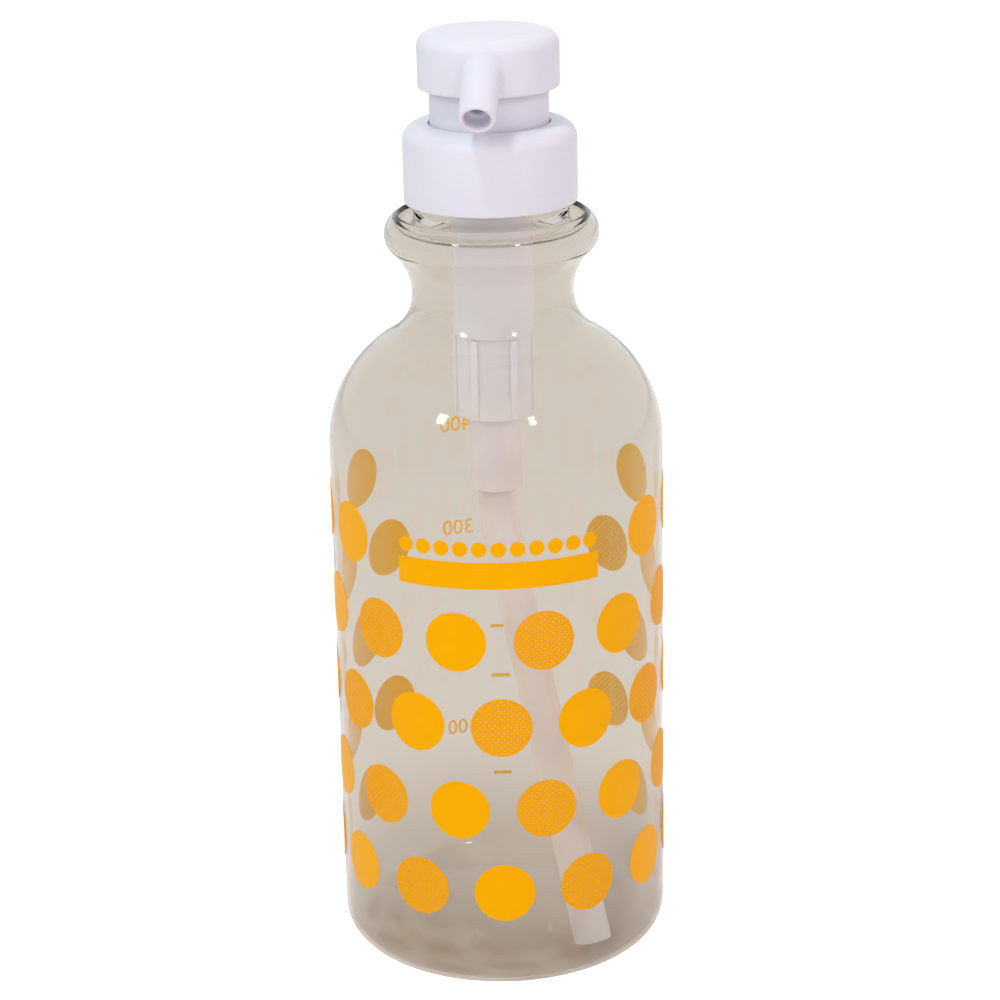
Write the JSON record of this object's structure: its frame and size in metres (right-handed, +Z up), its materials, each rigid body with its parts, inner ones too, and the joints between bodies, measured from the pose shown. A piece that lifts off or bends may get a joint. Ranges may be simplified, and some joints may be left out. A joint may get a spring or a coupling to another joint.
{
  "type": "pump bottle",
  "caption": "Round clear refill bottle with a beaded neck, printed dots and a volume scale, closed by a white screw-down lotion pump with a dip tube.",
  "frame": {"origin": "centre of the circle that the base stands on", "axes": "+Z up along the bottle's axis, -Y to the front, the way the spout points"},
  "size_m": [0.0742, 0.0742, 0.209],
  "materials": {
    "clear_pet": "clear blown plastic",
    "yellow_ink": "solid screen print",
    "thin_ink": "fine hatched screen print",
    "white_pp": "moulded, satin",
    "milky_pp": "translucent moulded or extruded plastic",
    "soft_pe": "soft moulded seal",
    "steel": "drawn wire and ground balls"
  },
  "bodies": {
    "bottle": {"bottle": "clear_pet", "solid_dots": "yellow_ink", "hatched_dots": "thin_ink", "label_band": "yellow_ink", "label_dots": "yellow_ink", "volume_marks": "yellow_ink"},
    "pump": {"housing": "milky_pp", "lock_ring": "white_pp", "gasket": "soft_pe", "inlet_ball": "steel", "ball_retainer": "soft_pe"},
    "tube": {"dip_tube": "milky_pp"},
    "closure": {"closure": "white_pp"},
    "plunger": {"piston": "soft_pe", "spring": "steel"},
    "head": {"head": "white_pp", "stem": "white_pp", "outlet_ball": "steel"}
  },
  "joints": [
    {"name": "pump_lift", "type": "slide", "parent": "bottle", "child": "pump", "axis": [0, 0, 1], "range_m": [0, 0.19]},
    {"name": "tube_flex", "type": "hinge", "parent": "pump", "child": "tube", "pos_m": [0, 0, 0.10727], "axis": [0.7431, 0.6691, 0], "range_deg": [0, 17], "deforming": ["dip_tube"]},
    {"name": "closure_turn", "type": "hinge", "parent": "pump", "child": "closure", "pos_m": [0, 0, 0.18], "axis": [0, 0, 1], "continuous": true},
    {"name": "head_rise", "type": "slide", "parent": "pump", "child": "plunger", "axis": [0, 0, 1], "range_m": [0, 0.018], "deforming": ["spring"]},
    {"name": "head_turn", "type": "hinge", "parent": "plunger", "child": "head", "pos_m": [0, 0, 0.2], "axis": [0, 0, 1], "continuous": true}
  ],
  "couplings": [
    {"joint": "tube_flex", "follows": "pump_lift", "rad_per_m": 1.561}
  ]
}
